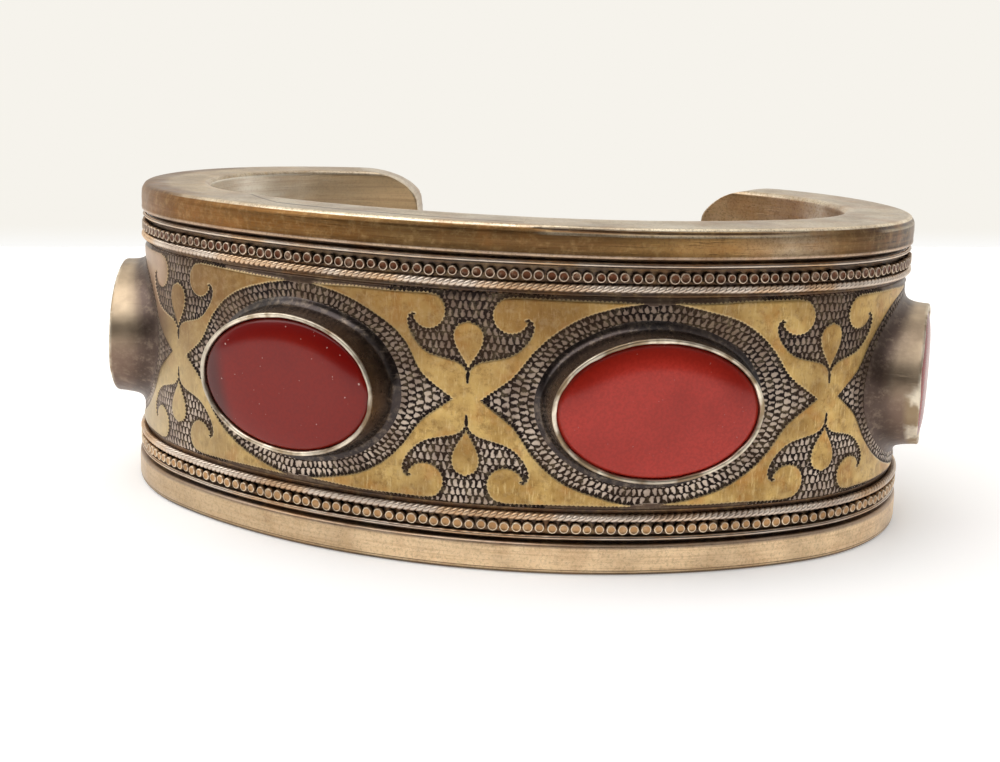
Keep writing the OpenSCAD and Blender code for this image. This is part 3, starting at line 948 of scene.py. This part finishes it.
# %% Silver of the settings
def setting_silver(name, flank_low, flank_high, foot_tone, coat, least_rough):
    """Silver of a setting: a bright lip, a flank that is paler above than below, which is a painted
    highlight, and a foot in another tone with a glossy layer of grime on it."""
    made, tree, shader = finish(name, 0.3, 0.9)
    lip, foot = attribute(tree, "lip"), attribute(tree, "foot")
    # Painted highlight: above, the flank takes the paler high tone, which only the side settings set
    # paler.
    flank = mix(tree, ramp(tree, position(tree)[2], 12 * MM, 16 * MM), flank_low, flank_high)
    rubbed = layered(tree, colour(250, 238, 216),
                     (ramp(tree, noise(tree, 2.0, 3.0), 0.42, 0.6), (168, 146, 116)))
    base = mix(tree, lip, mix(tree, foot, flank, foot_tone), rubbed)
    worn(tree, shader, base, colour(64, 46, 38), colour(176, 156, 134), 0.5, dent=0.04, scratches=0.15)
    shader.inputs["Coat Roughness"].default_value = 0.2
    tree.links.new(times(tree, foot, coat), shader.inputs["Coat Weight"])
    rough = plus(tree, least_rough, times(tree, noise(tree, 1.5, 4.0), 0.26))
    tree.links.new(plus(tree, rough, times(tree, lip, 0.1)), shader.inputs["Roughness"])
    return made


front_silver = setting_silver("Setting silver", colour(146, 122, 102), colour(146, 122, 102),
                              colour(44, 36, 35), 0.5, 0.14)
side_silver = setting_silver("Side setting silver", colour(132, 110, 96), colour(198, 176, 148),
                             colour(100, 84, 76), 0.1, 0.3)
print("materials:", front_silver.name, "and", side_silver.name)

# %% Four settings
stone_names = {-3: "stone_side_left", -1: "stone_front_left",
               1: "stone_front_right", 3: "stone_side_right"}
oval_turn = np.linspace(0, 2 * pi, 161)[:-1]
oval_cos, oval_sin = np.cos(oval_turn), np.sin(oval_turn)
for k, stone_name in stone_names.items():
    at_side = abs(k) > 1
    larger = side_grow / 2 if at_side else 0
    spread = 0.05 * waves(6 * oval_cos, 6 * oval_sin, 5, 90 + k)
    ragged_lip = 0.06 * np.minimum(waves(6 * oval_cos, 6 * oval_sin, 2.2, 97 + k), 0)
    dipping = 0.04 * (waves(6 * oval_cos, 6 * oval_sin, 4, 95 + k) - 1)
    reach = wider + spread * step(wider, -0.5, 0.5) + ragged_lip * (wider < -0.25)
    x = (setting_l / 2 + larger + reach) * oval_cos
    y = (setting_w / 2 + larger + reach) * oval_sin
    points = over_stone(place(k), x, y, high + dipping * step(high, 0.5, 1.5), flat_share)
    # The lip at the far right is rubbed down further over the lower half of its tube.
    lip_low = 1.5 - 0.5 * (k == 3) * step(-oval_sin, -0.2, 0.1)
    lip = step(high, lip_low, lip_low + 0.22)
    foot = np.broadcast_to(1 - step(high, 0.0, 0.9), lip.shape)
    piece(stone_name.replace("stone", "setting"), points, quads(*x.shape, round_cols=True),
          side_silver if at_side else front_silver, numbers={"lip": lip.ravel(), "foot": foot.ravel()})

# %% [markdown]
# ## The stones
#
# The four stones are red carnelian, or glass made like it: polished ovals with a dome so low that
# it nearly looks flat. The dome still matters. Its upper edge tips back and mirrors another part
# of the room than its middle, and that is the darker crescent along the top; the colour also has
# it as a painted reflection, paler red over the middle and the deep red left along the top. Such a
# slice reads deep red because little light gets out of it, so a dark saturated base colour with a
# clear polish comes closer than a transparent body.

# %% Polished red stone
def red_stone(name, deep, reflected_red, shine, dusty):
    """Carnelian: deep red where the painted reflection is thin, a paler red elsewhere, with specks of
    dust.
    """
    made, tree, shader = finish(name, 0.17, 0.0)
    shader.inputs["IOR"].default_value = 1.54
    shader.inputs["Specular IOR Level"].default_value = shine
    reflection_share = times(tree, attribute(tree, "painted_reflection"), ramp(tree, noise(tree, 9.0, 2.0), 0.1, 0.5))
    grain = ramp(tree, noise(tree, 0.22, 2.0), 0.35, 0.65, 0.0, 0.22)
    dust = times(tree, ramp(tree, noise(tree, 0.28, 1.0), 0.76, 0.79), dusty)
    red = layered(tree, mix(tree, reflection_share, deep, reflected_red), (attribute(tree, "dull"), (88, 34, 31)),
                  (grain, (96, 20, 16)), (dust, (225, 190, 180)))
    tree.links.new(red, shader.inputs["Base Color"])
    return made


dark_red = red_stone("Dark red stone", colour(112, 13, 9), colour(136, 27, 15), 0.3, 0.8)
clear_red = red_stone("Clear red stone", colour(144, 30, 18), colour(194, 56, 44), 0.3, 0.2)
# The side stones are only seen edge on, and worn too dull there to mirror the white table.
side_red = red_stone("Side stone", colour(134, 34, 27), colour(158, 56, 47), 0.01, 0.2)
stone_looks = {-3: side_red, -1: dark_red, 1: clear_red, 3: side_red}

print("materials:", ", ".join(made.name for made in (dark_red, clear_red, side_red)))

# %% Four stones
dome_h, stone_gap, edge_z, girdle_z, back_z = 0.5, 0.05, 1.5, 0.9, -0.35
stone_l, stone_w = setting_l / 2 - lip_t - stone_gap, setting_w / 2 - lip_t - stone_gap
# From the middle outwards a dome falls by the fifth power of the way, and its edge rounds off.
radial = np.concatenate([np.linspace(0, 0.94, 22), [0.96, 0.975, 0.988, 0.996, 1.0]])
crown = edge_z + dome_h * (1 - radial ** 5) - 0.12 * step(radial, 0.955, 1.0) ** 2
# Below its edge the stone goes down to a flat back, which is closed by one face.
share = np.concatenate([radial[1:], [1.0, 1.0, 0.5]])[:, None]
level = np.concatenate([crown[1:], [girdle_z, back_z, back_z]])[:, None]
# A painted reflection: the paler red lies over the middle, and along the upper edge only the deep red is
# left, as a painted darker crescent.
painted_reflection = 1 - step(share, 0.6, 0.95) * step(oval_sin, -0.2, 0.6)
# One end of the darker stone is greyer and less red.
dull_end = step(-share * (oval_cos + 0.15 * oval_sin), 0.66, 0.86)
ring = np.arange(len(oval_turn))
for k, stone_name in stone_names.items():
    larger = side_grow / 2 if abs(k) > 1 else 0
    x, y = (stone_l + larger) * share * oval_cos, (stone_w + larger) * share * oval_sin
    points = over_stone(place(k), x, y, level, 1.0).reshape(-1, 3)
    tip = over_stone(place(k), np.zeros(1), 0.0, crown[0], 1.0)
    fan = np.stack([ring, np.roll(ring, -1), np.full(len(ring), len(points))], -1)
    faces = quads(*x.shape, round_cols=True)[:, ::-1].tolist() + fan.tolist()
    faces += [(len(points) - len(ring) + ring[::-1]).tolist()]
    stone = piece(stone_name + "_polished", np.concatenate([points, tip]), faces, stone_looks[k],
                  numbers={"painted_reflection": np.append(painted_reflection.ravel(), 1.0),
                                         "dull": np.append(dull_end.ravel() * (k == -1), 0.0)})
    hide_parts(stone_name)

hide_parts("cuff_body")

# %% [markdown]
# ## Floor, light and camera
#
# The cuff stands on a white table before a pale wall, in soft light from above. What metal and
# polished stone look like is mostly what they mirror: the fronts here look down at the bright
# table before them, and what tips back a little looks at the dimmer room behind the camera. So the
# table ends in front at a set distance, and the world is darker than the table and the wall.

# %% The camera
# Its place, turn and lens were fitted to the rims, wires and stones in the photograph.
camera_place = np.array([17.679, front_y - 98.796, 38.784])
yaw, pitch, roll = -0.1517, 0.23, 0.0374
focal_px, picture_w, picture_h = 1357.7, 1000, 762
looks = np.array([sin(yaw) * cos(pitch), cos(yaw) * cos(pitch), -sin(pitch)])
level_right = np.array([cos(yaw), -sin(yaw), 0])
level_up = np.cross(level_right, looks)
right = cos(roll) * level_right + sin(roll) * level_up
upward = -sin(roll) * level_right + cos(roll) * level_up


def on_the_ground(u, v):
    """The place on the table that shows at column u and row v of the picture: the ray through
    that pixel, followed down to height 0."""
    ray = looks + (u - picture_w / 2) / focal_px * right - (v - picture_h / 2) / focal_px * upward
    return camera_place - camera_place[2] / ray[2] * ray


lens = bpy.data.cameras.new("Camera")
lens.sensor_width = 36
lens.lens = lens.sensor_width * focal_px / picture_w
lens.clip_start, lens.clip_end = 0.005, 20
camera = bpy.data.objects.new("Camera", lens)
turned_to = Matrix([Vector(v) for v in (right, upward, -looks)]).transposed().to_4x4()
camera.matrix_world = Matrix.Translation(Vector(camera_place) * MM) @ turned_to
bpy.context.scene.collection.objects.link(camera)
bpy.context.scene.camera = camera
bpy.context.scene.view_settings.view_transform = "Standard"
print("the lens is", round(lens.lens, 2), "mm")

# %% The table and the wall behind
def matt(name, shade, glow, lit=True):
    """A plain matt material. A backdrop that glows by itself and isn't lit keeps one even tone."""
    made, tree, shader = finish(name, 0.9, 0.0)
    for socket, value in (("Base Color", shade if lit else (0, 0, 0, 1)), ("Specular IOR Level", 0.0),
                          ("Emission Color", shade), ("Emission Strength", glow)):
        shader.inputs[socket].default_value = value
    return made, tree, shader


def stage_sheet(name, corners, material):
    """A flat sheet that isn't part of the object, from four corners in millimetres."""
    mesh = bpy.data.meshes.new(name)
    mesh.from_pydata([Vector(c) * MM for c in corners], [], [(0, 1, 2, 3)])
    mesh.materials.append(material)
    obj = bpy.data.objects.new(name, mesh)
    bpy.context.scene.collection.objects.link(obj)


# The table ends where the photograph changes from white to cream, a level line in the picture.
horizon, beyond = 247, 900
back_left, back_right = on_the_ground(0, horizon), on_the_ground(picture_w, horizon)
along_back = (back_right - back_left) / np.linalg.norm(back_right - back_left)
back_left, back_right = back_left - beyond * along_back, back_right + beyond * along_back
table_front, table_side = -330, 1100
white, _, _ = matt("White table", (0.88, 0.87, 0.86, 1), 0.34)
front_left, front_right = (-table_side, table_front, 0), (table_side, table_front, 0)
stage_sheet("table", [front_left, front_right, back_right, back_left], white)
cream_tone = colour(246, 243, 236)
cream, tree, shader = matt("Pale wall", cream_tone, 1.0, lit=False)
low_down = ramp(tree, position(tree)[2], -2 * MM, 5 * MM)
tree.links.new(mix(tree, low_down, colour(255, 255, 254), cream_tone), shader.inputs["Emission Color"])
down, top = np.array([0, 0, -20]), np.array([0, 0, 700])
stage_sheet("wall_behind",
            [back_left + down, back_right + down, back_right + top, back_left + top], cream)
print("the table's back edge runs from y =", round(float(back_left[1])), "to", round(float(back_right[1])))

# %% The light
world = bpy.context.scene.world or bpy.data.worlds.new("Room")
bpy.context.scene.world = world
world.use_nodes = True
room = world.node_tree
_, back, over = position(room, "Generated")
# The room is dim behind the camera and brighter above and behind the cuff.
dim, bright = (0.035, 0.033, 0.03, 1), (0.62, 0.62, 0.62, 1)
lightness = ramp(room, plus(room, back, times(room, over, 0.9)), -0.7, 0.9)
room.links.new(mix(room, lightness, dim, bright), room.nodes["Background"].inputs["Color"])


def softbox(name, place, aim, width, height, power):
    """A large flat light at a place in millimetres, turned to face a point."""
    light = bpy.data.lights.new(name, "AREA")
    light.shape, light.size, light.size_y, light.energy = "RECTANGLE", width * MM, height * MM, power
    obj = bpy.data.objects.new(name, light)
    obj.location = Vector(place) * MM
    obj.rotation_euler = (Vector(aim) - Vector(place)).to_track_quat("-Z", "Y").to_euler()
    bpy.context.scene.collection.objects.link(obj)


softbox("Ceiling light", (-300, 60, 580), (0, 0, 0), 1200, 1000, 8.2)
